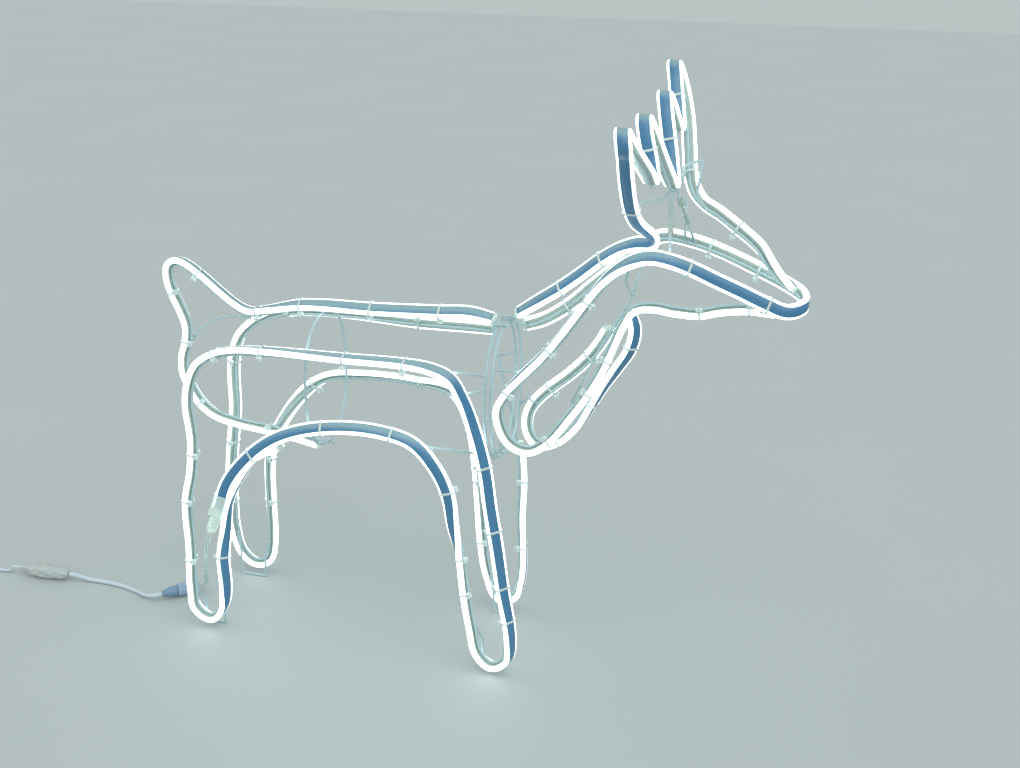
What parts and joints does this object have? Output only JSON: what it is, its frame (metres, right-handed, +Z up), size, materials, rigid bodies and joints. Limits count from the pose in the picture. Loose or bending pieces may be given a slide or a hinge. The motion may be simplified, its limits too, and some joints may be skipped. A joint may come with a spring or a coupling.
{
  "type": "light up yard reindeer",
  "caption": "Free-standing reindeer figure of welded white wire that carries flat light strips with glowing edges, with a hook-on head and a plug-in lead.",
  "frame": {"origin": "middle of the deer's own box at floor level, without the cord", "axes": "+X the way the deer looks, +Y its far side in the picture, +Z up"},
  "size_m": [1.0842, 0.2244, 0.6156],
  "materials": {
    "white_wire": "white paint over welded steel wire",
    "strip_band": "opaque flat face of the light strip, deep blue grey beside its own glow",
    "strip_glow": "milky half-round edge that glows cold white",
    "tie_plastic": "natural translucent nylon",
    "clear_plastic": "clear moulded plastic",
    "clear_film": "crumpled clear film round a joint",
    "cord_jacket": "pale grey cord jacket",
    "adapter_shell": "pale plastic shell",
    "blade_metal": "plated contact blades"
  },
  "bodies": {
    "body": {"near_side_wire": "white_wire", "near_side_strip": "strip_band", "near_side_glow": "strip_glow", "far_side_wire": "white_wire", "far_side_strip": "strip_band", "far_side_glow": "strip_glow", "back_wire": "white_wire", "back_strip": "strip_band", "back_glow": "strip_glow", "body_ties": "tie_plastic", "body_caps": "clear_plastic", "tail_brace": "white_wire", "mid_hoop": "white_wire", "chest_hoop": "white_wire", "shoulder_links": "white_wire", "arch_links": "white_wire", "arch_struts": "white_wire", "near_rear_foot": "white_wire", "near_front_foot": "white_wire", "far_rear_foot": "white_wire", "far_front_foot": "white_wire", "lead_cap": "clear_plastic", "lead_socket": "clear_plastic", "twin_lead": "cord_jacket", "inline_socket": "clear_plastic", "inline_plug": "cord_jacket", "cord": "cord_jacket", "film_joint": "clear_film", "cable": "cord_jacket", "coil": "cord_jacket", "coil_tie": "tie_plastic", "adapter": "adapter_shell", "adapter_blades": "blade_metal"},
    "head": {"neck_hoop": "white_wire", "top_hook": "white_wire", "bottom_hook": "white_wire", "neck_links": "white_wire", "face_wire": "white_wire", "face_strip": "strip_band", "face_glow": "strip_glow", "throat_wire": "white_wire", "throat_strip": "strip_band", "throat_glow": "strip_glow", "crown_wire": "white_wire", "crown_strip": "strip_band", "crown_glow": "strip_glow", "head_ties": "tie_plastic", "head_caps": "clear_plastic", "throat_brace": "white_wire", "head_braces": "white_wire", "antler_posts": "white_wire", "antler_sleeves": "clear_plastic", "antler_bar": "white_wire", "forehead_staple": "white_wire"},
    "ring": {"lock_ring": "clear_plastic"}
  },
  "joints": [
    {"name": "head_lift", "type": "slide", "parent": "body", "child": "head", "axis": [0, 0, 1], "range_m": [0, 0.03]},
    {"name": "lock_turn", "type": "hinge", "parent": "body", "child": "ring", "pos_m": [-0.33868, -0.00861, 0.0078], "axis": [-0.727, -0.6866, 0], "range_deg": [0, 60]}
  ]
}
